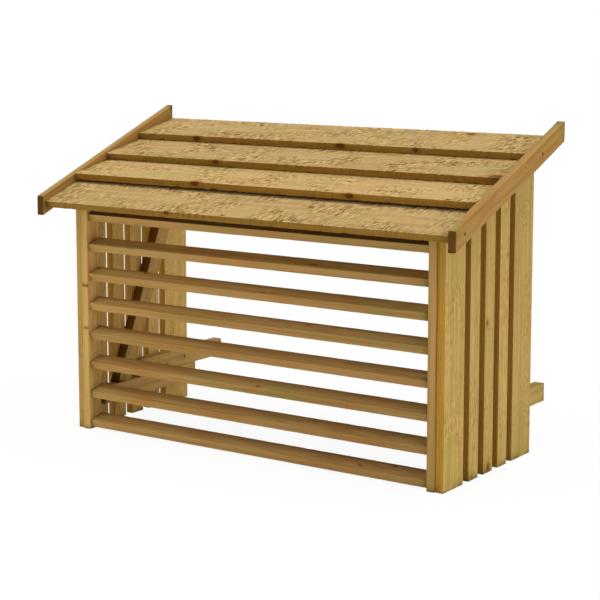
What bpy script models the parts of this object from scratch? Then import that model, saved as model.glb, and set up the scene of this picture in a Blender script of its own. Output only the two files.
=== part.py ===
"""Lean-to log rack: a louvred front, two boarded side walls, a lapped pent roof and an open back.

Metres, +Z up. The front faces -Y, the side walls stand at -X (left) and +X (right).
The rack rests on Z = 0, and its origin is the bottom centre of its bounding box.
"""
import math

import bmesh
import bpy
from mathutils import Vector

COLLECTION = "firewood_log_rack"
FIT = 0.0003                # clearance between pieces that touch

# Side walls: five upright boards each, listed from the front to the back.
WALL_WIDTH = 1.060          # over the outer faces of the two walls
WALL_BOARD_T = 0.020
WALL_BOARD_W = (0.090, 0.045, 0.045, 0.045, 0.095)
WALL_GAP = 0.025
WALL_SETBACK = 0.005        # the walls start this far behind the front stiles' faces

# Front ladder frame: two stiles with eight tilted slats between them.
STILE_W = 0.020
STILE_D = 0.045
SLAT_COUNT = 8
SLAT_PITCH = 0.075
SLAT_W = 0.045
SLAT_T = 0.020
SLAT_TILT = math.radians(16)
SLAT_SETBACK = 0.0075       # lower front edge, behind the stiles' faces
SLAT_GROUND_GAP = 0.005

# Frame timber inside the walls.
FRAME_T = 0.028
FRAME_W = 0.045
CLEAT_START = 0.052         # clear of the slats' back edges
LOWER_CLEAT_Z = 0.0555
BRACE_FOOT_Y = 0.1025       # front edge of the brace where it stands on the lower cleat
BRACE_LEAN = math.radians(24.1)
BEARER_START = 0.188
BEARER_END = 0.543          # stands off the wall behind the rack

# Roof: four lapped boards, each one tilted up onto the board in front of it.
ROOF_PITCH = math.radians(19.4)
EAVE_Y = -0.054             # lower front edge of the first board
EAVE_Z = 0.566
ROOF_BOARD_L = 1.147
ROOF_BOARD_W = 0.150
ROOF_BOARD_T = 0.017
ROOF_STEPS = (0.120, 0.130, 0.140)
BARGE_T = 0.020
BARGE_W = 0.045
BARGE_FRONT = -0.066
BARGE_REAR = 0.452
BARGE_Z = 0.5465            # lower edge of the bargeboards at their front ends
BARGE_PITCH = math.radians(21.3)  # set a little steeper than the boards they cover

# Countersunk screws.
SCREW_HEAD_R = 0.0042
SCREW_HEAD_H = 0.0034
SCREW_SHANK_R = 0.0022
SCREW_POINT = 0.006
SCREW_SIDES = 12
SCREW_RISE = 0.001          # how far a screw hole's cutter stands out of the timber
BARGE_SCREW_L = 0.050
BARGE_SCREW_BACK = 0.031    # behind the front edge of the roof board that it holds
BEARER_SCREW_L = 0.042
BEARER_SCREW_Y = (0.2125, 0.3775)

ARRIS = 0.002               # eased edges of planed timber
SAWN_ARRIS = 0.001          # edges of rough-sawn timber

WALL_COLOUR = (0.50, 0.33, 0.14)
STILE_COLOUR = (0.56, 0.38, 0.17)
SLAT_COLOUR = (0.46, 0.28, 0.11)
FRAME_COLOUR = (0.45, 0.29, 0.12)
ROOF_COLOUR = (0.60, 0.42, 0.21)
BARGE_COLOUR = (0.48, 0.29, 0.11)
STEEL_COLOUR = (0.30, 0.27, 0.20)

WALL_OUT = WALL_WIDTH / 2
WALL_IN = WALL_OUT - WALL_BOARD_T
STILE_OUT = WALL_IN - FIT
STILE_IN = STILE_OUT - STILE_W
FRAME_OUT = WALL_IN - FIT
FRAME_IN = FRAME_OUT - FRAME_T
BARGE_IN = ROOF_BOARD_L / 2 + FIT
BARGE_OUT = BARGE_IN + BARGE_T
WALL_REAR = WALL_SETBACK + sum(WALL_BOARD_W) + WALL_GAP * (len(WALL_BOARD_W) - 1)
LOWER_CLEAT_TOP = LOWER_CLEAT_Z + FRAME_W
DEPTH_CENTRE = (BARGE_FRONT + BEARER_END) / 2
SIDES = (("left", -1), ("right", 1))


def seat_z(y):
    """Height of the roof's seat, the sloping plane that the lowest roof board lies on."""
    return EAVE_Z + (y - EAVE_Y) * math.tan(ROOF_PITCH)


def seat_point(along, above):
    """A (y, z) point given along the slope from the eave and square above the seat."""
    y = EAVE_Y + along * math.cos(ROOF_PITCH) - above * math.sin(ROOF_PITCH)
    z = EAVE_Z + along * math.sin(ROOF_PITCH) + above * math.cos(ROOF_PITCH)
    return y, z


def collection(name):
    made = bpy.data.collections.new(name)
    bpy.context.scene.collection.children.link(made)
    return made


def finish(mesh, name, colour, roughness=0.75, metallic=0.0):
    """Give a piece its own material."""
    material = bpy.data.materials.new(name + "_finish")
    material.use_nodes = True
    shader = material.node_tree.nodes["Principled BSDF"]
    shader.inputs["Base Color"].default_value = (*colour, 1.0)
    shader.inputs["Roughness"].default_value = roughness
    shader.inputs["Metallic"].default_value = metallic
    mesh.materials.clear()
    mesh.materials.append(material)


def place(name, mesh, centre, rotation=(0.0, 0.0, 0.0)):
    """Put a piece in the rack, with its centre measured from the middle of the stiles' front faces."""
    piece = bpy.data.objects.new(name, mesh)
    piece.location = centre
    piece.rotation_euler = rotation
    piece.parent = datum
    parts.objects.link(piece)
    return piece


def ease(piece, width):
    """Ease the arrises of a board."""
    bevel = piece.modifiers.new("arris", "BEVEL")
    bevel.width = width
    bevel.segments = 1
    bevel.limit_method = "ANGLE"


def box(name, size, centre, colour, tilt=0.0, arris=ARRIS):
    """A straight board, tilted about X."""
    mesh = bpy.data.meshes.new(name)
    form = bmesh.new()
    bmesh.ops.create_cube(form, size=1.0)
    bmesh.ops.scale(form, vec=size, verts=form.verts)
    form.to_mesh(mesh)
    form.free()
    finish(mesh, name, colour)
    piece = place(name, mesh, centre, (tilt, 0.0, 0.0))
    ease(piece, arris)
    return piece


def cut_board(name, outline, thickness, x, colour, arris=ARRIS):
    """A board in the YZ plane whose ends are cut to the given (y, z) outline."""
    curve = bpy.data.curves.new(name + "_outline", "CURVE")
    curve.dimensions = "2D"
    curve.fill_mode = "BOTH"
    curve.extrude = thickness / 2
    spline = curve.splines.new("POLY")
    spline.points.add(len(outline) - 1)
    spline.use_cyclic_u = True
    middle_y = sum(y for y, z in outline) / len(outline)
    middle_z = sum(z for y, z in outline) / len(outline)
    for point, (y, z) in zip(spline.points, outline):
        point.co = (y - middle_y, z - middle_z, 0.0, 1.0)
    pattern = bpy.data.objects.new(name + "_outline", curve)
    parts.objects.link(pattern)
    seen = pattern.evaluated_get(bpy.context.evaluated_depsgraph_get())
    mesh = bpy.data.meshes.new_from_object(seen)
    bpy.data.objects.remove(pattern)
    bpy.data.curves.remove(curve)
    form = bmesh.new()
    form.from_mesh(mesh)
    bmesh.ops.remove_doubles(form, verts=form.verts, dist=FIT / 3)
    bmesh.ops.recalc_face_normals(form, faces=form.faces)
    form.to_mesh(mesh)
    form.free()
    mesh.name = name
    finish(mesh, name, colour)
    # The outline's own X and Y stand along the rack's Y and Z.
    piece = place(name, mesh, (x, middle_y, middle_z), (math.pi / 2, 0.0, math.pi / 2))
    ease(piece, arris)
    return piece


def turned(name, profile):
    """A mesh whose (radius, height) profile is turned about Z by a Screw modifier."""
    mesh = bpy.data.meshes.new(name)
    rings = [(radius, 0.0, height) for radius, height in profile]
    mesh.from_pydata(rings, [(i, i + 1) for i in range(len(rings) - 1)], [])
    return mesh


def turn(piece):
    lathe = piece.modifiers.new("turned", "SCREW")
    lathe.steps = SCREW_SIDES
    lathe.render_steps = SCREW_SIDES
    lathe.use_merge_vertices = True
    lathe.merge_threshold = 0.00005
    lathe.use_smooth_shade = True


def screw(name, head, inward, length, timbers):
    """A countersunk screw: head is the middle of its top, inward is -1 or 1 along X."""
    aim = (0.0, -inward * math.pi / 2, 0.0)
    profile = (
        (0.0, 0.0),
        (SCREW_HEAD_R, 0.0),
        (SCREW_SHANK_R, -SCREW_HEAD_H),
        (SCREW_SHANK_R, SCREW_POINT - length),
        (0.0, -length),
    )
    mesh = turned(name, profile)
    finish(mesh, name, STEEL_COLOUR, 0.4, 0.9)
    turn(place(name, mesh, head, aim))
    hole = (
        (0.0, SCREW_RISE),
        (SCREW_HEAD_R + FIT, SCREW_RISE),
        (SCREW_HEAD_R + FIT, 0.0),
        (SCREW_SHANK_R + FIT, -SCREW_HEAD_H),
        (SCREW_SHANK_R + FIT, SCREW_POINT - length),
        (0.0, -length - 2 * FIT),
    )
    cutter = bpy.data.objects.new(name + "_hole", turned(name + "_hole", hole))
    cutter.location = head
    cutter.rotation_euler = aim
    cutter.parent = datum
    cutter.hide_render = True
    cutter.display_type = "WIRE"
    cutters.objects.link(cutter)
    turn(cutter)
    for timber in timbers:
        cut = timber.modifiers.new(name + "_hole", "BOOLEAN")
        cut.operation = "DIFFERENCE"
        cut.solver = "EXACT"
        cut.object = cutter


def wall_board_spans():
    """Front and back edges of the wall boards, along Y."""
    start = WALL_SETBACK
    for width in WALL_BOARD_W:
        yield start, start + width
        start += width + WALL_GAP


def sloped_top(front, rear, bottom, below_seat):
    """Outline of an upright board whose top follows the roof."""
    return (
        (front, bottom),
        (rear, bottom),
        (rear, seat_z(rear) - below_seat),
        (front, seat_z(front) - below_seat),
    )


def make_walls():
    """Upright boards, returned by side."""
    x = WALL_OUT - WALL_BOARD_T / 2
    boards = {}
    for side, sign in SIDES:
        boards[side] = [
            cut_board(f"{side}_wall_board_{number}", sloped_top(front, rear, 0.0, FIT),
                      WALL_BOARD_T, sign * x, WALL_COLOUR)
            for number, (front, rear) in enumerate(wall_board_spans(), 1)
        ]
    return boards


def make_front():
    """The stiles and the tilted slats between them."""
    x = STILE_OUT - STILE_W / 2
    for side, sign in SIDES:
        cut_board(f"front_stile_{side}", sloped_top(0.0, STILE_D, 0.0, FIT),
                  STILE_W, sign * x, STILE_COLOUR)
    along = Vector((0.0, math.cos(SLAT_TILT), math.sin(SLAT_TILT)))
    up = Vector((0.0, -math.sin(SLAT_TILT), math.cos(SLAT_TILT)))
    length = 2 * (STILE_IN - FIT)
    for number in range(1, SLAT_COUNT + 1):
        lower_edge = SLAT_GROUND_GAP + (SLAT_COUNT - number) * SLAT_PITCH
        corner = Vector((0.0, SLAT_SETBACK, lower_edge))
        centre = corner + along * SLAT_W / 2 + up * SLAT_T / 2
        box(f"front_slat_{number}", (length, SLAT_W, SLAT_T), centre, SLAT_COLOUR, SLAT_TILT)


def brace_outline():
    """A leaning board, cut to the lower cleat's top and to the sloping cleat's underside."""
    lean = math.tan(BRACE_LEAN)
    width = FRAME_W / math.cos(BRACE_LEAN)
    foot = LOWER_CLEAT_TOP + FIT
    below_seat = FRAME_W / math.cos(ROOF_PITCH) + 2 * FIT
    top = []
    for y in (BRACE_FOOT_Y, BRACE_FOOT_Y + width):
        rise = (seat_z(y) - below_seat - foot) / (1 - lean * math.tan(ROOF_PITCH))
        top.append((y + rise * lean, foot + rise))
    return (BRACE_FOOT_Y, foot), (BRACE_FOOT_Y + width, foot), top[1], top[0]


def make_frame(walls):
    """Cleats, braces and bearers on the inner faces of the walls, and the rail at the back."""
    x = FRAME_OUT - FRAME_T / 2
    cleat_length = WALL_REAR - CLEAT_START
    plumb = FRAME_W / math.cos(ROOF_PITCH)
    upper_cleat = (
        (CLEAT_START, seat_z(CLEAT_START) - plumb - FIT),
        (WALL_REAR, seat_z(WALL_REAR) - plumb - FIT),
        (WALL_REAR, seat_z(WALL_REAR) - FIT),
        (CLEAT_START, seat_z(CLEAT_START) - FIT),
    )
    bearer_z = LOWER_CLEAT_TOP + FIT + FRAME_W / 2
    for side, sign in SIDES:
        box(f"{side}_lower_cleat", (FRAME_T, cleat_length, FRAME_W),
            (sign * x, (CLEAT_START + WALL_REAR) / 2, LOWER_CLEAT_Z + FRAME_W / 2), FRAME_COLOUR)
        cut_board(f"{side}_upper_cleat", upper_cleat, FRAME_T, sign * x, FRAME_COLOUR)
        cut_board(f"{side}_brace", brace_outline(), FRAME_T, sign * x, FRAME_COLOUR)
        bearer = box(f"{side}_bearer", (FRAME_T, BEARER_END - BEARER_START, FRAME_W),
                     (sign * x, (BEARER_START + BEARER_END) / 2, bearer_z), FRAME_COLOUR)
        boards = (walls[side][2], walls[side][4])
        for number, (y, board) in enumerate(zip(BEARER_SCREW_Y, boards), 1):
            screw(f"{side}_bearer_screw_{number}", (sign * FRAME_IN, y, bearer_z), sign,
                  BEARER_SCREW_L, (bearer, board))
    rail_front = WALL_REAR - FRAME_T
    rail_top = seat_z(rail_front) - FIT
    box("rear_top_rail", (2 * (FRAME_IN - FIT), FRAME_T, FRAME_W),
        (0.0, WALL_REAR - FRAME_T / 2, rail_top - FRAME_W / 2), FRAME_COLOUR)


def roof_board_seats():
    """Rear lower edge along the slope and tilt against the slope of each roof board."""
    rear = ROOF_BOARD_W
    tilt = 0.0
    yield rear, tilt
    lift = ROOF_BOARD_T + FIT
    for step in ROOF_STEPS:
        # Each board lies on the rear corner of the one in front, or with its own edge on that
        # one's face, whichever holds it higher.
        run = step - ROOF_BOARD_T * math.sin(tilt)
        on_corner = math.atan2(ROOF_BOARD_T * math.cos(tilt) + FIT, run)
        on_face = tilt + math.asin((lift - step * math.sin(tilt)) / ROOF_BOARD_W)
        tilt = max(on_corner, on_face)
        rear += step
        yield rear, tilt


def board_middle(rear, tilt, back):
    """A (y, z) point halfway through a roof board's thickness, back from its front edge."""
    along = rear - (ROOF_BOARD_W - back) * math.cos(tilt) + ROOF_BOARD_T / 2 * math.sin(tilt)
    above = (ROOF_BOARD_W - back) * math.sin(tilt) + ROOF_BOARD_T / 2 * math.cos(tilt)
    return seat_point(along, above)


def make_roof():
    """Lapped boards, and bargeboards screwed to the ends of the first and the last board."""
    high = BARGE_Z + (BARGE_REAR - BARGE_FRONT) * math.tan(BARGE_PITCH)
    plumb = BARGE_W / math.cos(BARGE_PITCH)
    outline = (
        (BARGE_FRONT, BARGE_Z),
        (BARGE_REAR, high),
        (BARGE_REAR, high + plumb),
        (BARGE_FRONT, BARGE_Z + plumb),
    )
    barges = {
        side: cut_board(f"bargeboard_{side}", outline, BARGE_T,
                        sign * (BARGE_IN + BARGE_T / 2), BARGE_COLOUR)
        for side, sign in SIDES
    }
    boards = []
    for number, (rear, tilt) in enumerate(roof_board_seats(), 1):
        y, z = board_middle(rear, tilt, ROOF_BOARD_W / 2)
        board = box(f"roof_board_{number}", (ROOF_BOARD_L, ROOF_BOARD_W, ROOF_BOARD_T),
                    (0.0, y, z), ROOF_COLOUR, ROOF_PITCH - tilt, SAWN_ARRIS)
        boards.append((board, board_middle(rear, tilt, BARGE_SCREW_BACK)))
    for number, (board, (y, z)) in enumerate((boards[0], boards[-1]), 1):
        for side, sign in SIDES:
            screw(f"bargeboard_screw_{side}_{number}", (sign * BARGE_OUT, y, z), -sign,
                  BARGE_SCREW_L, (barges[side], board))


for leftover in list(bpy.data.objects):
    bpy.data.objects.remove(leftover)
parts = collection(COLLECTION)
cutters = collection("cutters")
datum = bpy.data.objects.new("datum", None)
datum.location = (0.0, -DEPTH_CENTRE, 0.0)
parts.objects.link(datum)

wall_boards = make_walls()
make_front()
make_frame(wall_boards)
make_roof()
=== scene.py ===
"""Looks of the firewood log rack: each timber node gets a detailed board in its place.

Metres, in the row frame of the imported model: the front faces -Y and the rack stands on Z = 0.
"""
import math
import random

import bmesh
import bpy
import numpy as np
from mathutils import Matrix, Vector, noise


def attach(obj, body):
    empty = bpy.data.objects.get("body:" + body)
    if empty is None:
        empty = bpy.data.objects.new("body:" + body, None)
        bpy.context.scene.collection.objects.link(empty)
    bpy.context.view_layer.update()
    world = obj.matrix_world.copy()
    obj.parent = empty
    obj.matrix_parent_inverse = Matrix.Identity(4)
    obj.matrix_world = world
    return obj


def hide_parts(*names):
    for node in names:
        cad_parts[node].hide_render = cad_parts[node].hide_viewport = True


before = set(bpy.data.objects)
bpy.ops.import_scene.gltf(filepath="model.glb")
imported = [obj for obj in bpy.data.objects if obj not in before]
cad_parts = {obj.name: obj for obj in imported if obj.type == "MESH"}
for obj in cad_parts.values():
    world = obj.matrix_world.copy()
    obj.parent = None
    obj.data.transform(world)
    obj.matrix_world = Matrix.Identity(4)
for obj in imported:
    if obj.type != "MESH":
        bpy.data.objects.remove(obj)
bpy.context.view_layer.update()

BODY = "root"
SCENE = bpy.context.scene

# Camera: in front of the rack, to its right and a little above it.
CAMERA_AT = (2.267, -3.3425, 1.057)
CAMERA_TURN = math.radians(34.25)
CAMERA_DIP = math.radians(7.51)
CAMERA_LENS = 99.9
CAMERA_SHIFT = -0.12
SENSOR_WIDTH = 36.0

# Lighter and darker parts of the wood, as shares of its mean colour, and stains of fixed colour.
LIGHT_SHARES = (1.16, 1.18, 1.25)
DARK_SHARES = (0.66, 0.60, 0.45)
DEEP_BROWN_SHARES = (0.24, 0.15, 0.06)
# Painted highlight on the torn fibres' tufts: how much lighter than the light wood it is drawn, and at
# most how light.
TUFT_HIGHLIGHT_GAIN = 1.4
TUFT_HIGHLIGHT_LIMIT = 0.9
GREEN_STAIN = (0.26, 0.25, 0.045)
WARM_STAIN = (0.40, 0.17, 0.035)
KNOT_CORE = (0.13, 0.06, 0.018)
GROWTH_RING = 0.005         # width of a growth ring
STROKE_SLANT = 0.45         # how far a torn stroke runs along the board for each metre across
SAW_LINES = 9.0             # about how many saw lines there are to a metre

# Surface of a board.
WORN_REACH = 0.006          # wear stays this near to an arris
KERF_WAVE = 1150.0          # radians of saw ripple to a metre
END_STAIN = 0.030           # how far from the ends the stain fades
END_SOAK = 0.008            # how far from the ends the soaked wood fades
ARC_STEPS = 2               # points on each half of a rounded arris
END_STEPS = 3               # rings that round the edge between a board's side and its end
NO_KNOT = 3.0               # distance in knot radii from which a knot doesn't show

# Floor and world.
FLOOR_HALF = 30.0
FLOOR_DROP = 0.0005         # keeps the floor clear of the timbers that stand on it
FLOOR_WHITE = (0.95, 0.95, 0.95)
FLOOR_LIFT = 0.93
WORLD_LIGHT = 0.27


# ---------------------------------------------------------------- materials

class Nodes:
    """Short ways to add and join shader nodes."""

    def __init__(self, tree):
        self.tree = tree

    def add(self, kind, **settings):
        made = self.tree.nodes.new(kind)
        for key, value in settings.items():
            setattr(made, key, value)
        return made

    def put(self, socket, value):
        if isinstance(value, bpy.types.NodeSocket):
            self.tree.links.new(value, socket)
        else:
            socket.default_value = value

    def math(self, operation, a, b=0.0):
        made = self.add("ShaderNodeMath", operation=operation)
        for socket, value in zip(made.inputs, (a, b)):
            self.put(socket, value)
        return made.outputs[0]

    def read(self, name):
        return self.add("ShaderNodeAttribute", attribute_name=name).outputs["Vector"]

    def split(self, vector):
        made = self.add("ShaderNodeSeparateXYZ")
        self.put(made.inputs[0], vector)
        return made.outputs

    def join(self, *values):
        made = self.add("ShaderNodeCombineXYZ")
        for socket, value in zip(made.inputs, values):
            self.put(socket, value)
        return made.outputs[0]

    def scaled(self, vector, scale):
        made = self.add("ShaderNodeVectorMath", operation="MULTIPLY")
        self.put(made.inputs[0], vector)
        self.put(made.inputs[1], scale)
        return made.outputs[0]

    def noise(self, vector, scale=1.0, detail=2.0, rough=0.5):
        made = self.add("ShaderNodeTexNoise")
        self.put(made.inputs["Vector"], vector)
        made.inputs["Scale"].default_value = scale
        made.inputs["Detail"].default_value = detail
        made.inputs["Roughness"].default_value = rough
        return made.outputs["Fac"]

    def span(self, value, low, high, to_low=0.0, to_high=1.0):
        made = self.add("ShaderNodeMapRange", interpolation_type="SMOOTHSTEP")
        for socket, given in zip(made.inputs, (value, low, high, to_low, to_high)):
            self.put(socket, given)
        return made.outputs[0]

    def mix(self, factor, a, b, blend="MIX"):
        made = self.add("ShaderNodeMix", data_type="RGBA", blend_type=blend)
        self.put(made.inputs["Factor"], factor)
        self.put(made.inputs[6], a if not isinstance(a, tuple) else (*a, 1.0))
        self.put(made.inputs[7], b if not isinstance(b, tuple) else (*b, 1.0))
        return made.outputs[2]

    def ramp(self, value, stops):
        made = self.add("ShaderNodeValToRGB")
        self.put(made.inputs[0], value)
        steps = made.color_ramp.elements
        while len(steps) < len(stops):
            steps.new(0.5)
        for step, (place, shade) in zip(steps, stops):
            step.position = place
            step.color = (shade, shade, shade, 1.0)
        return made.outputs[0]


def timber(name, mean, sawn=0.0, strokes=(230.0, 75.0), edge=(1.0, 1.0, 1.0), roughness=0.78):
    """Treated softwood. sawn is how rough the surface is, from planed, 0, to rough-sawn, 1.
    strokes is the scale of the torn fibres to a metre, along and across the board, and edge colours
    the narrow edges: a dye on most timbers, painted shade on the frame timbers."""
    light = tuple(c * k for c, k in zip(mean, LIGHT_SHARES))
    dark = tuple(c * k for c, k in zip(mean, DARK_SHARES))
    deep_brown = tuple(c * k for c, k in zip(mean, DEEP_BROWN_SHARES))
    material = bpy.data.materials.new(name)
    material.use_nodes = True
    n = Nodes(material.node_tree)
    shader = material.node_tree.nodes["Principled BSDF"]
    grain = n.read("grain")
    tone, warmth, tint = n.split(n.read("board"))
    near_knot, near_end, on_edge = n.split(n.read("marks"))
    torn, soaked, end_grain = n.split(n.read("wear"))

    # Growth rings round a pith line, bent by slow noise and pushed aside by knots.
    along, across, deep = n.split(grain)
    radius = n.math("SQRT", n.math("ADD", n.math("POWER", across, 2.0), n.math("POWER", deep, 2.0)))
    sway = n.noise(n.scaled(grain, (1.3, 7.0, 7.0)), 1.0, 2.0)
    radius = n.math("ADD", radius, n.math("MULTIPLY", sway, 0.055))
    radius = n.math("ADD", radius, n.span(near_knot, 0.6, 3.0, 0.012, 0.0))
    turn = n.math("FRACT", n.math("DIVIDE", radius, GROWTH_RING))
    late = n.ramp(turn, ((0.0, 0.25), (0.18, 0.0), (0.55, 0.15), (0.86, 1.0), (1.0, 0.3)))

    fibre = n.noise(n.scaled(grain, (9.0, 420.0, 420.0)), 1.0, 3.0, 0.6)
    streak = n.noise(n.scaled(grain, (1.6, 70.0, 70.0)), 1.0, 3.0, 0.55)
    patch = n.noise(n.scaled(grain, (5.0, 16.0, 16.0)), 1.0, 3.0, 0.55)
    # The saw tore the fibres in short strokes that run aslant across the board.
    slant = n.math("SUBTRACT", along, n.math("MULTIPLY", across, STROKE_SLANT))
    stroke_scale = (strokes[0], strokes[1], strokes[1])
    fuzz = n.noise(n.scaled(n.join(slant, across, deep), stroke_scale), 1.0, 3.0, 0.6)

    colour = n.mix(n.math("MULTIPLY", late, 0.38 - 0.24 * sawn), light, dark)
    colour = n.mix(n.span(streak, 0.40, 0.72, 0.0, 0.55 - 0.25 * sawn), colour, dark)
    colour = n.mix(n.span(fibre, 0.50, 0.80, 0.0, 0.30), colour, dark)
    colour = n.mix(n.math("MULTIPLY", n.span(patch, 0.45, 0.75), warmth), colour, WARM_STAIN)
    colour = n.mix(n.math("MULTIPLY", n.span(patch, 0.55, 0.28), tint), colour, GREEN_STAIN)
    if sawn:
        # Torn fibres: painted shade in the hollows and pits and painted highlight on the tufts, for the
        # light and shade of the torn relief, thick where the saw pulled the grain.
        pulled = n.math("MULTIPLY", torn, n.span(on_edge, 0.0, 1.0, sawn, 0.25 * sawn))
        hollow_shade = n.math("MULTIPLY", n.span(fuzz, 0.49, 0.57), pulled)
        pit_shade = n.math("MULTIPLY", n.span(fuzz, 0.56, 0.63), n.math("MULTIPLY", pulled, pulled))
        pale = tuple(min(TUFT_HIGHLIGHT_LIMIT, TUFT_HIGHLIGHT_GAIN * c) for c in light)
        tuft_highlight = n.math("MULTIPLY", n.span(fuzz, 0.47, 0.38), pulled)
        colour = n.mix(n.math("MULTIPLY", hollow_shade, 0.95), colour, dark)
        colour = n.mix(n.math("MULTIPLY", pit_shade, 0.95), colour, deep_brown)
        colour = n.mix(n.math("MULTIPLY", tuft_highlight, 0.90), colour, pale)
        # Saw lines run aslant over the board, in places.
        cells = n.add("ShaderNodeTexVoronoi", voronoi_dimensions="1D", feature="DISTANCE_TO_EDGE")
        bend = n.math("MULTIPLY", patch, 0.25)
        n.put(cells.inputs["W"], n.math("ADD", n.math("MULTIPLY", slant, SAW_LINES), bend))
        near_line = n.span(cells.outputs["Distance"], 0.0, 0.030, 1.0, 0.0)
        line = n.math("MULTIPLY", near_line, n.span(streak, 0.44, 0.56))
        colour = n.mix(n.math("MULTIPLY", line, 0.7 * sawn * sawn), colour, deep_brown)

    # Knots: a dark core with its own rings, in a ring of resin-brown wood.
    ragged = n.math("ADD", near_knot, n.math("MULTIPLY", n.math("SUBTRACT", fuzz, 0.5), 1.3))
    colour = n.mix(n.span(ragged, 2.2, 0.9, 0.0, 0.45), colour, WARM_STAIN)
    colour = n.mix(n.span(ragged, 1.05, 0.7, 0.0, 0.85), colour, KNOT_CORE)

    # Narrow edges get their own colour, a dye or, on the frame timbers, painted shade; the ends are
    # stained and the end grain has drunk the most.
    blotch = n.span(n.noise(n.scaled(grain, (22.0, 30.0, 30.0)), 1.0, 2.0), 0.35, 0.65)
    colour = n.mix(n.math("MULTIPLY", near_end, n.math("MULTIPLY", blotch, 0.55)), colour, GREEN_STAIN)
    colour = n.mix(n.math("MULTIPLY", soaked, n.math("MULTIPLY", blotch, 0.8)), colour, deep_brown)
    colour = n.mix(on_edge, colour, n.mix(1.0, colour, edge, "MULTIPLY"))
    colour = n.mix(n.math("MULTIPLY", end_grain, 0.85), colour, deep_brown)
    # Brightness from the board's tone, with the painted shade that make_board folds into it.
    shade = n.add("ShaderNodeHueSaturation")
    n.put(shade.inputs["Color"], colour)
    n.put(shade.inputs["Value"], tone)
    n.put(shader.inputs["Base Color"], shade.outputs[0])

    n.put(shader.inputs["Roughness"], n.span(streak, 0.3, 0.7, roughness - 0.06, roughness + 0.08))
    shader.inputs["Specular IOR Level"].default_value = 0.06

    # Relief, in metres: fibres and late wood stand up, torn hollows, saw lines and knots lie deep.
    raised = n.math("MULTIPLY", fibre, 0.00022 + 0.0002 * sawn)
    height = n.math("ADD", raised, n.math("MULTIPLY", late, 0.0001))
    if sawn:
        height = n.math("ADD", height, n.math("MULTIPLY", n.math("MULTIPLY", fuzz, pulled), -0.0035))
        height = n.math("SUBTRACT", height, n.math("MULTIPLY", line, 0.0008 * sawn))
    height = n.math("SUBTRACT", height, n.span(ragged, 1.15, 0.8, 0.0, 0.0004))
    bump = n.add("ShaderNodeBump")
    bump.inputs["Strength"].default_value = 0.8
    bump.inputs["Distance"].default_value = 1.0
    n.put(bump.inputs["Height"], height)
    n.put(shader.inputs["Normal"], bump.outputs[0])
    return material


def steel():
    """Screw steel with a dull brown outdoor coating."""
    material = bpy.data.materials.new("screw_steel")
    material.use_nodes = True
    n = Nodes(material.node_tree)
    shader = material.node_tree.nodes["Principled BSDF"]
    place = n.add("ShaderNodeTexCoord").outputs["Object"]
    stain = n.noise(place, 900.0, 4.0, 0.6)
    brown = n.mix(n.span(stain, 0.35, 0.65), (0.11, 0.06, 0.02), (0.03, 0.017, 0.006))
    n.put(shader.inputs["Base Color"], brown)
    n.put(shader.inputs["Roughness"], n.span(stain, 0.3, 0.7, 0.38, 0.62))
    shader.inputs["Specular IOR Level"].default_value = 0.2
    return material


# ---------------------------------------------------------------- boards

def straight_frame(node):
    """Axes, centre, half sizes and end planes of a straight timber, from its mesh."""
    faces = node.data.polygons
    normals = np.array([f.normal for f in faces])
    areas = np.array([f.area for f in faces])
    points = np.array([v.co for v in node.data.vertices])

    def broadest(allowed):
        """The normal that the largest area of parallel faces shares, from the allowed faces."""
        def parallel_area(i):
            return areas[np.abs(normals @ normals[i]) > 0.9995].sum() if allowed(i) else 0

        return normals[max(range(len(faces)), key=parallel_area)]

    thick = broadest(lambda i: areas[i] > 1e-5)
    wide = broadest(lambda i: areas[i] > 1e-5 and abs(normals[i] @ thick) < 0.1)
    wide = wide - thick * (wide @ thick)
    axes = []
    for axis in (wide, thick):
        axis = axis / np.linalg.norm(axis)
        axes.append(axis if axis[np.argmax(np.abs(axis))] > 0 else -axis)
    wide, thick = axes
    grain = np.cross(wide, thick)
    if grain[np.argmax(np.abs(grain))] < 0:
        grain, thick = -grain, -thick
    local = points @ np.array([grain, wide, thick]).T
    centre = (local.min(0) + local.max(0)) / 2
    half = (local.max(0) - local.min(0)) / 2
    local_normals = normals @ np.array([grain, wide, thick]).T
    ends = []
    for sign in (-1, 1):
        facing = [i for i in range(len(faces)) if local_normals[i][0] * sign > 0.6]
        cut = max(facing, key=lambda i: areas[i])
        normal = local_normals[cut]
        at = local[faces[cut].vertices[0]] - centre
        ends.append((normal, at @ normal))
    return np.array([grain, wide, thick]), centre, half, ends


def section(half_w, half_t, radius, pitch):
    """Outline of a rounded board: (across, deep, normal across, normal deep), and cells each way."""
    cells_w = max(2, round(2 * (half_w - radius) / pitch))
    cells_t = max(2, round(2 * (half_t - radius) / pitch))
    ring = []
    for turn, (run, rise, cells) in enumerate(((half_w, half_t, cells_w), (half_t, half_w, cells_t)) * 2):
        side = []
        for k in range(ARC_STEPS):
            angle = math.pi * 0.75 - math.pi / 4 * k / ARC_STEPS
            c, s = math.cos(angle), math.sin(angle)
            side.append((-(run - radius) + radius * c, rise - radius + radius * s, c, s))
        for k in range(cells + 1):
            side.append(((k / cells * 2 - 1) * (run - radius), rise, 0.0, 1.0))
        for k in range(1, ARC_STEPS):
            angle = math.pi / 2 - math.pi / 4 * k / ARC_STEPS
            c, s = math.cos(angle), math.sin(angle)
            side.append((run - radius + radius * c, rise - radius + radius * s, c, s))
        spin = -math.pi / 2 * turn
        c, s = round(math.cos(spin)), round(math.sin(spin))
        for a, b, na, nb in side:
            ring.append((a * c - b * s, a * s + b * c, na * c - nb * s, na * s + nb * c))
    return np.array(ring), cells_w + 2 * ARC_STEPS, cells_t + 2 * ARC_STEPS


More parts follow.
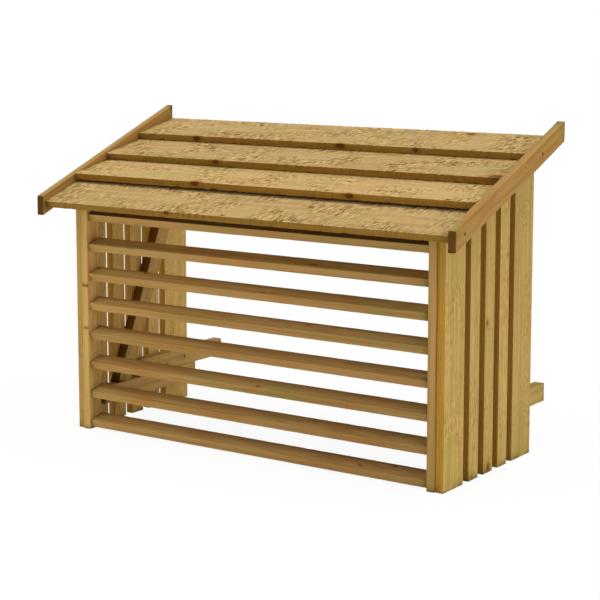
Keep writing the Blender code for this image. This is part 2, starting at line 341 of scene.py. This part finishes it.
def cap_grid(ring, cells_w, cells_t):
    """Coons patch over a ring of points. Returns where on the ring its four sides lie, which inner
    point each cell corner has, and the inner points' places."""
    count = len(ring)
    top = list(range(cells_w + 1))
    right = [cells_w + j for j in range(cells_t + 1)]
    bottom = [2 * cells_w + cells_t - i for i in range(cells_w + 1)]
    left = [(count - j) % count for j in range(cells_t + 1)]
    inner = []
    where = {}
    for i in range(1, cells_w):
        for j in range(1, cells_t):
            x, y = i / cells_w, j / cells_t
            place = ((1 - y) * ring[top[i]] + y * ring[bottom[i]]
                     + (1 - x) * ring[left[j]] + x * ring[right[j]]
                     - (1 - x) * (1 - y) * ring[top[0]] - x * (1 - y) * ring[top[-1]]
                     - (1 - x) * y * ring[bottom[0]] - x * y * ring[bottom[-1]])
            where[i, j] = len(inner)
            inner.append(place)
    return top, right, bottom, left, where, np.array(inner)


def board_mesh(half, ends, arris, pitch_along, pitch_across):
    """Grid mesh of a board in its own frame: points, outward normals, faces and where it ends."""
    ring, cells_w, cells_t = section(half[1], half[2], arris, pitch_across)
    count = len(ring)
    outline, out = ring[:, :2], ring[:, 2:]
    length = 2 * half[0]
    stations = max(4, round(length / pitch_along))
    ease = 0.8 * arris

    def end_at(which, points):
        normal, reach = ends[which]
        return (reach - points @ normal[1:]) / normal[0]

    rows, normals = [], []
    steps = END_STEPS
    for k in range(steps):
        angle = math.pi / 2 * k / steps
        inset = outline - out * ease * (1 - math.sin(angle))
        rows.append(np.column_stack((end_at(0, inset) + ease * (1 - math.cos(angle)), inset)))
        normals.append(np.column_stack((np.full(count, -math.cos(angle)), out * math.sin(angle))))
    start, stop = end_at(0, outline) + ease, end_at(1, outline) - ease
    for k in range(stations + 1):
        rows.append(np.column_stack((start + (stop - start) * k / stations, outline)))
        normals.append(np.column_stack((np.zeros(count), out)))
    for k in range(steps - 1, -1, -1):
        angle = math.pi / 2 * k / steps
        inset = outline - out * ease * (1 - math.sin(angle))
        rows.append(np.column_stack((end_at(1, inset) - ease * (1 - math.cos(angle)), inset)))
        normals.append(np.column_stack((np.full(count, math.cos(angle)), out * math.sin(angle))))
    faces = []
    for k in range(len(rows) - 1):
        for m in range(count):
            a, b = k * count + m, k * count + (m + 1) % count
            faces.append((a, b, b + count, a + count))
    points, facing = np.vstack(rows), np.vstack(normals)
    for which, first in ((0, 0), (1, (len(rows) - 1) * count)):
        rim = rows[-1] if which else rows[0]
        top, right, bottom, left, where, inner = cap_grid(rim, cells_w, cells_t)
        base = len(points)

        def at(i, j):
            if j == 0:
                return first + top[i]
            if j == cells_t:
                return first + bottom[i]
            if i == 0:
                return first + left[j]
            if i == cells_w:
                return first + right[j]
            return base + where[i, j]

        for i in range(cells_w):
            for j in range(cells_t):
                quad = (at(i, j), at(i, j + 1), at(i + 1, j + 1), at(i + 1, j))
                faces.append(quad if which else quad[::-1])
        points = np.vstack((points, inner))
        outward = (1.0 if which else -1.0, 0.0, 0.0)
        facing = np.vstack((facing, np.tile(outward, (len(inner), 1))))
    return points, facing, faces, (start.mean() - ease, stop.mean() + ease)


def weather(points, facing, half, dice, wear, saw, slow):
    """Sinks the surface a little here and there: worn arrises, saw marks and slow hollows."""
    shift = Vector([dice.uniform(-50, 50) for _ in range(3)])
    sunk = np.zeros(len(points))
    for i, (p, normal) in enumerate(zip(points, facing)):
        u, v, s = p
        place = Vector((u * 9, v * 24, s * 24)) + shift
        depth = slow * (0.5 + 0.5 * noise.noise(place))
        corner = (half[1] - abs(v)) + (half[2] - abs(s))
        if wear and corner < WORN_REACH:
            coarse = noise.noise(Vector((u * 45, v * 60, s * 60)) + shift)
            fine = noise.noise(Vector((u * 160, v * 90, s * 90)) + shift)
            depth += wear * max(0.0, coarse + 0.5 * fine) * (1 - corner / WORN_REACH)
        if saw:
            drift = 0.002 * noise.noise(Vector((u * 3, v * 12, 0)) + shift)
            kerf = math.sin((u + drift) * KERF_WAVE)
            rough = noise.noise(Vector((u * 120, v * 150, s * 150)) + shift)
            depth += saw * (0.5 + 0.22 * kerf + 0.5 * rough)
        sunk[i] = max(0.0, depth)
    return points - facing * sunk[:, None]


def store(mesh, name, values):
    """Keep a vector for each point of a mesh, for its material to read."""
    attribute = mesh.attributes.new(name, "FLOAT_VECTOR", "POINT")
    attribute.data.foreach_set("vector", np.asarray(values, np.float32).ravel())


def tearing(points, knot_field, dice):
    """How far the saw has torn the fibres at each point, from 0 to 1: in drifts, and round knots."""
    shift = Vector((dice.uniform(-50, 50), dice.uniform(-50, 50), 0.0))
    drift = np.array([noise.noise(Vector((u * 11, v * 17, 0.0)) + shift) for u, v, _ in points])
    return np.clip(0.52 + 1.3 * drift + 0.5 * np.exp(-knot_field), 0.12, 1.0)


def make_board(node_name, material, arris=0.002, pitch=(0.008, 0.006), wear=0.0006, saw=0.0,
               slow=0.0003, knots=(), tone=1.0, warmth=0.3, tint=0.3, edge=1.0, dim=(1.0, 0.0),
               dim_edge=0.0, fade=0.0):
    """A detailed board in the place of a straight timber node.

    pitch is the grid's spacing, along and across; wear, saw and slow are depths in metres. A knot is
    its share along, its share across, its radius and, where it doesn't go right through, its share
    of the depth. tone, warmth and tint set the board's brightness, brown and green. edge is how much
    of the material's edge colour shows. dim is painted shade: the share across from which the upper
    face is drawn darker, and how much darker; dim_edge is painted shade drawn on the narrow edges, as
    a share darker. fade is how much lighter the left end is than the middle, and how much darker the
    right end.
    """
    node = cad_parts[node_name]
    axes, centre, half, ends = straight_frame(node)
    dice = random.Random(node_name)
    points, facing, faces, reach = board_mesh(half, ends, arris, *pitch)
    shaped = weather(points, facing, half, dice, wear, saw, slow)
    world = (shaped + centre) @ axes
    mesh = bpy.data.meshes.new(node_name + "_timber")
    mesh.from_pydata(world.tolist(), [], faces)
    mesh.validate()
    if np.linalg.det(axes) < 0:
        mesh.flip_normals()
    for polygon in mesh.polygons:
        polygon.use_smooth = True

    # What the material reads: the place from the pith, the board's tones with their painted shade, how
    # near a knot, an end and an edge are, and how torn and soaked the wood is.
    pith = (dice.uniform(-0.5, 0.5) * half[1], dice.choice((-1, 1)) * dice.uniform(0.03, 0.09))
    shift = np.array((dice.uniform(0, 40), -pith[0], -pith[1]))
    knot_field = np.full(len(points), NO_KNOT)
    for along, across, size, *deep in knots:
        offset = (shaped - (along * half[0], across * half[1], 0.0)) / (1.5 * size, size, np.inf)
        if deep:
            offset[:, 2] = (shaped[:, 2] - deep[0] * half[2]) / (0.8 * size)
        knot_field = np.minimum(knot_field, np.linalg.norm(offset, axis=1))
    to_end = np.minimum(shaped[:, 0] - reach[0], reach[1] - shaped[:, 0])
    end_grain = (np.abs(facing[:, 0]) > 0.6).astype(float)
    on_edge = edge * np.clip(np.abs(facing[:, 1]) * 1.6 - 0.6, 0.0, 1.0)
    # Painted shade: the upper face from the share dim[0] across is drawn darker by dim[1], and the narrow
    # edges by dim_edge.
    shaded_top = (facing[:, 2] > 0.5) & (shaped[:, 1] > dim[0] * half[1] - 0.001)
    narrow = np.abs(facing[:, 1]) > 0.7
    shade = tone * (1.0 - fade * shaped[:, 0] / half[0]) * (1.0 - dim[1] * shaded_top)
    shade = shade * (1.0 - dim_edge * narrow)
    torn = tearing(shaped, knot_field, dice)
    store(mesh, "grain", shaped + shift)
    store(mesh, "board", np.column_stack((shade, np.full((len(points), 2), (warmth, tint)))))
    store(mesh, "marks", np.column_stack((knot_field, np.exp(-to_end / END_STAIN), on_edge)))
    store(mesh, "wear", np.column_stack((torn, np.exp(-to_end / END_SOAK), end_grain)))

    piece = bpy.data.objects.new(node_name + "_timber", mesh)
    SCENE.collection.objects.link(piece)
    mesh.materials.append(material)
    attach(piece, BODY)
    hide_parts(node_name)


def scattered(dice, count, radius=(0.004, 0.009)):
    """Knots at random places: (share along, share across, radius)."""
    return tuple((dice.uniform(-0.96, 0.96), dice.uniform(-0.85, 0.85), dice.uniform(*radius))
                 for _ in range(count))


# ---------------------------------------------------------------- the rack's boards

wall_wood = timber("wall_timber", (0.50, 0.325, 0.095), sawn=0.5, strokes=(70.0, 420.0),
                   edge=(0.88, 0.70, 0.36))
stile_wood = timber("stile_timber", (0.44, 0.27, 0.084))
slat_wood = timber("slat_timber", (0.435, 0.254, 0.080))
# The frame timber's edge colour is painted shade, not a dye.
frame_wood = timber("frame_timber", (0.45, 0.275, 0.093), sawn=0.2, edge=(0.36, 0.24, 0.08))
roof_wood = timber("roof_timber", (0.49, 0.325, 0.132), sawn=1.0, edge=(0.545, 0.42, 0.16),
                   roughness=0.86)
barge_wood = timber("barge_timber", (0.34, 0.184, 0.048), edge=(1.15, 1.3, 1.7))
screw_steel = steel()

# Knots and dark marks, as make_board takes them: on the right wall's boards, on the bargeboards, on
# the left stile and on the roof boards, where most of them show at the front edges.
SMALL_KNOT = (0.002, 0.004)
WALL_MARKS = {
    1: ((0.45, 0.3, 0.002, -1.0), (-0.35, -0.2, 0.002, -1.0)),
    2: ((0.0, 0.2, 0.0026, -1.0), (-0.20, -0.3, 0.0022, -1.0), (-0.77, 0.1, 0.003, -1.0)),
    3: ((0.05, -0.45, 0.0052, -1.0), (-0.97, 0.1, 0.010, -1.0)),
    4: ((0.275, 0.0, 0.0028, -1.0), (0.55, 0.5, 0.002, -1.0), (-0.8, -0.2, 0.003, -1.0)),
    5: ((0.61, -0.46, 0.0032, -1.0), (-0.2, 0.3, 0.0022, -1.0)),
}
BARGE_KNOTS = ((-0.79, 1.0, 0.0024), (-0.44, 1.0, 0.0024), (0.2, 1.0, 0.002))
STILE_KNOTS = ((0.23, -1.0, 0.0032), (-0.13, -1.0, 0.0026))
ROOF_KNOTS = {
    1: ((-0.33, -1.0, 0.006, 0.6), (0.30, 0.1, 0.005, 1.0), (-0.05, -0.9, 0.004, 1.0)),
    2: ((-0.33, -0.98, 0.010, 0.7), (0.44, -1.0, 0.009, 0.3), (0.88, -0.9, 0.005, 1.0)),
    3: ((-0.38, -1.0, 0.008, 0.5), (0.97, -0.85, 0.014, 0.8), (0.45, -0.3, 0.005, 1.0)),
    4: ((-0.66, -1.0, 0.009, 0.2), (0.11, -1.0, 0.010, 0.4), (0.48, -1.0, 0.007, 0.2),
        (0.62, 0.75, 0.009, 1.0)),
}
WALL_TONES = (1.0, 0.96, 0.92, 1.0, 0.90)   # of the right wall's boards, from the front back
# Painted light: the left wall's boards are drawn lighter than the right wall's, for the light on their
# inner faces through the open back.
LEFT_WALL_PAINTED_LIGHT = 1.2
STILE_TONES = {"left": 1.38, "right": 0.98}
# Painted shade: how much darker each slat's top face is drawn, from the one under the eave, deepest in
# shade, down.
SLAT_SHADE = (0.70, 0.06, 0.06, 0.06, 0.06, 0.10, 0.20, 0.20)
ROOF_TONES = (0.97, 1.08, 0.97, 0.98)
ROOF_COVER = (0.56, 0.775, 0.91, 1.1)       # share across from which the next board covers this one
# Painted shade: how much darker a roof board's upper face is drawn under the next board's lap, down to its
# front edge.
ROOF_COVER_SHADE = 0.6


def make_wall(side, dice):
    """Five upright boards, from the front back."""
    for number in range(1, 6):
        right = side == "right"
        marks = WALL_MARKS[number] if right else ()
        make_board(f"{side}_wall_board_{number}", wall_wood,
                   arris=0.0006, wear=0.0002, slow=0.0001,
                   knots=marks + scattered(dice, 1, SMALL_KNOT),
                   tone=dice.uniform(0.98, 1.02) * (WALL_TONES[number - 1] if right else LEFT_WALL_PAINTED_LIGHT),
                   warmth=dice.uniform(0.0, 0.25), tint=dice.uniform(0.1, 0.5),
                   edge=1.0 if right or number > 1 else 0.3,
                   # Painted shade on the narrow edges, facing into the gaps between the boards; the right
                   # wall's front board is left out.
                   dim_edge=0.0 if right and number == 1 else 0.17)


def make_side(side):
    """One side of the rack: wall boards, front stile, frame timbers and bargeboard."""
    dice = random.Random("walls" + side)
    make_wall(side, dice)
    make_board(f"front_stile_{side}", stile_wood, arris=0.0015,
               knots=STILE_KNOTS if side == "left" else scattered(dice, 1, SMALL_KNOT),
               tone=STILE_TONES[side], warmth=0.2, tint=0.3)
    # Painted shade: the frame timber's edge colour shows in full on the braces' narrow edges, which face
    # the front inside the rack, and faintly on the others'.
    for piece in ("lower_cleat", "upper_cleat", "brace", "bearer"):
        make_board(f"{side}_{piece}", frame_wood, knots=scattered(dice, 1),
                   tone=dice.uniform(1.02, 1.12), warmth=0.25, tint=0.5,
                   edge=1.0 if piece == "brace" else 0.1)
    make_board(f"bargeboard_{side}", barge_wood,
               knots=BARGE_KNOTS + scattered(dice, 2, SMALL_KNOT),
               tone=dice.uniform(0.97, 1.03), warmth=0.5, tint=0.15)


def make_crosspieces():
    """The louvred front's slats, from the one under the eave down, and the rail at the back."""
    dice = random.Random("slats")
    for number, shade in enumerate(SLAT_SHADE, start=1):
        make_board(f"front_slat_{number}", slat_wood,
                   knots=scattered(dice, 2, (0.002, 0.005)), tone=dice.uniform(0.94, 1.06),
                   warmth=dice.uniform(0.1, 0.6), tint=dice.uniform(0.1, 0.4),
                   dim=(-2.0, shade), fade=0.14)
    make_board("rear_top_rail", frame_wood, knots=scattered(dice, 2),
               warmth=0.3, tint=0.4, edge=0.1)


def make_roof():
    """The four lapped roof boards, from the eave up."""
    for number, knots in ROOF_KNOTS.items():
        make_board(f"roof_board_{number}", roof_wood, arris=0.001,
                   pitch=(0.0045, 0.0045), wear=0.0012, saw=0.0006, slow=0.0005, knots=knots,
                   tone=ROOF_TONES[number - 1], warmth=0.25, tint=0.3,
                   dim=(ROOF_COVER[number - 1], ROOF_COVER_SHADE))


def finish_screws():
    """The screws keep their shape from the frame and get their steel here."""
    for name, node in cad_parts.items():
        if "screw" in name:
            node.data.materials.clear()
            node.data.materials.append(screw_steel)


make_side("left")
make_side("right")
make_crosspieces()
make_roof()
finish_screws()


# ---------------------------------------------------------------- floor, light and camera

def backdrop(name, colour, lift):
    """A pale floor. lift is how much of it the camera sees as plain white, like the world behind."""
    material = bpy.data.materials.new(name)
    material.use_nodes = True
    n = Nodes(material.node_tree)
    shader = material.node_tree.nodes["Principled BSDF"]
    dust = n.noise(n.add("ShaderNodeTexCoord").outputs["Object"], 40.0, 3.0)
    n.put(shader.inputs["Base Color"], n.mix(dust, colour, tuple(0.985 * c for c in colour)))
    shader.inputs["Roughness"].default_value = 0.9
    white = n.add("ShaderNodeEmission")
    blend = n.add("ShaderNodeMixShader")
    n.put(blend.inputs[0], n.math("MULTIPLY", n.add("ShaderNodeLightPath").outputs["Is Camera Ray"], lift))
    n.put(blend.inputs[1], shader.outputs[0])
    n.put(blend.inputs[2], white.outputs[0])
    n.put(material.node_tree.nodes["Material Output"].inputs["Surface"], blend.outputs[0])
    return material


floor_mesh = bpy.data.meshes.new("floor")
grid = bmesh.new()
bmesh.ops.create_grid(grid, x_segments=4, y_segments=4, size=FLOOR_HALF)
grid.to_mesh(floor_mesh)
grid.free()
floor = bpy.data.objects.new("floor", floor_mesh)
floor.location.z = -FLOOR_DROP
floor_mesh.materials.append(backdrop("floor_pale", FLOOR_WHITE, FLOOR_LIFT))
SCENE.collection.objects.link(floor)


def sun(name, towards, strength, softness):
    """A broad soft white light from one side; towards points from the rack to the light, and
    softness is its width in degrees."""
    lamp = bpy.data.lights.new(name, "SUN")
    lamp.energy = strength
    lamp.angle = math.radians(softness)
    holder = bpy.data.objects.new(name, lamp)
    holder.rotation_euler = Vector(towards).to_track_quat("Z", "Y").to_euler()
    SCENE.collection.objects.link(holder)


sun("top", (0.10, -0.12, 1.0), 2.15, 70.0)
sun("right", (0.90, 0.22, 0.38), 0.95, 50.0)
sun("front", (-0.45, -0.80, 0.38), 0.45, 50.0)


def studio_world():
    """A world that lights the rack softly and that the camera sees as plain white."""
    world = bpy.data.worlds.new("studio")
    world.use_nodes = True
    n = Nodes(world.node_tree)
    lit = world.node_tree.nodes["Background"]
    lit.inputs["Color"].default_value = (1.0, 1.0, 1.0, 1.0)
    lit.inputs["Strength"].default_value = WORLD_LIGHT
    seen = n.add("ShaderNodeBackground")
    seen.inputs["Color"].default_value = (1.0, 1.0, 1.0, 1.0)
    choice = n.add("ShaderNodeMixShader")
    n.put(choice.inputs[0], n.add("ShaderNodeLightPath").outputs["Is Camera Ray"])
    n.put(choice.inputs[1], lit.outputs[0])
    n.put(choice.inputs[2], seen.outputs[0])
    n.put(world.node_tree.nodes["World Output"].inputs["Surface"], choice.outputs[0])
    return world


SCENE.world = studio_world()
SCENE.view_settings.view_transform = "Standard"

camera = bpy.data.objects.new("camera", bpy.data.cameras.new("camera"))
camera.location = CAMERA_AT
camera.rotation_euler = (math.pi / 2 - CAMERA_DIP, 0.0, CAMERA_TURN)
camera.data.lens = CAMERA_LENS
camera.data.sensor_width = SENSOR_WIDTH
camera.data.shift_y = CAMERA_SHIFT
SCENE.collection.objects.link(camera)
SCENE.camera = camera
